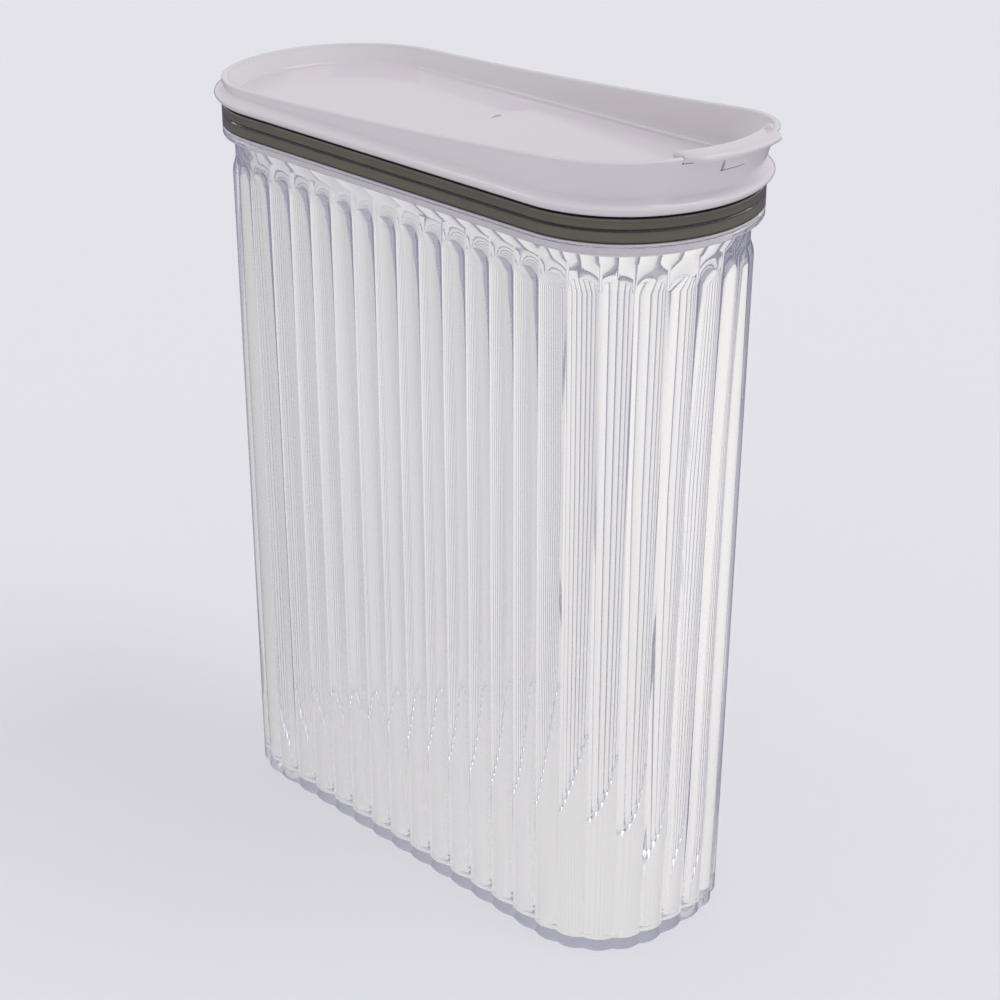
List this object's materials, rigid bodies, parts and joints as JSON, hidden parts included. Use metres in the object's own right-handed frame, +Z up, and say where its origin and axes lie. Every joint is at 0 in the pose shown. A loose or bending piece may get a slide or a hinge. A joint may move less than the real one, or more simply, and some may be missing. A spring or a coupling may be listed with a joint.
{
  "type": "cereal container with flip spout",
  "caption": "Clear fluted cereal container with a press-in lid, a rim that sweeps up at one end, and a hinged flap over the pour opening.",
  "frame": {"origin": "middle of the flat base that the container stands on", "axes": "+Z up, X along the container with the spout at +X, Y across it"},
  "size_m": [0.2175, 0.089, 0.2748],
  "materials": {
    "clear_plastic": "clear moulded plastic, glossy",
    "lid_plastic": "pale grey satin plastic",
    "flap_plastic": "pale grey satin plastic",
    "gasket_rubber": "dark ribbed silicone",
    "seal_rubber": "grey silicone",
    "pin_steel": "plain steel wire"
  },
  "bodies": {
    "jar": {"container_body": "clear_plastic"},
    "lid": {"lid_body": "lid_plastic", "gasket_retainer": "lid_plastic", "lid_gasket": "gasket_rubber", "flap_hinge_pin": "pin_steel"},
    "flap": {"spout_flap": "flap_plastic", "flap_seal": "seal_rubber"}
  },
  "joints": [
    {"name": "lid_lift", "type": "slide", "parent": "jar", "child": "lid", "axis": [0, 0, 1], "range_m": [0, 0.05]},
    {"name": "flap_hinge", "type": "hinge", "parent": "lid", "child": "flap", "pos_m": [-0.003, 0, 0.2554], "axis": [0, -1, 0], "range_deg": [0, 110]}
  ]
}
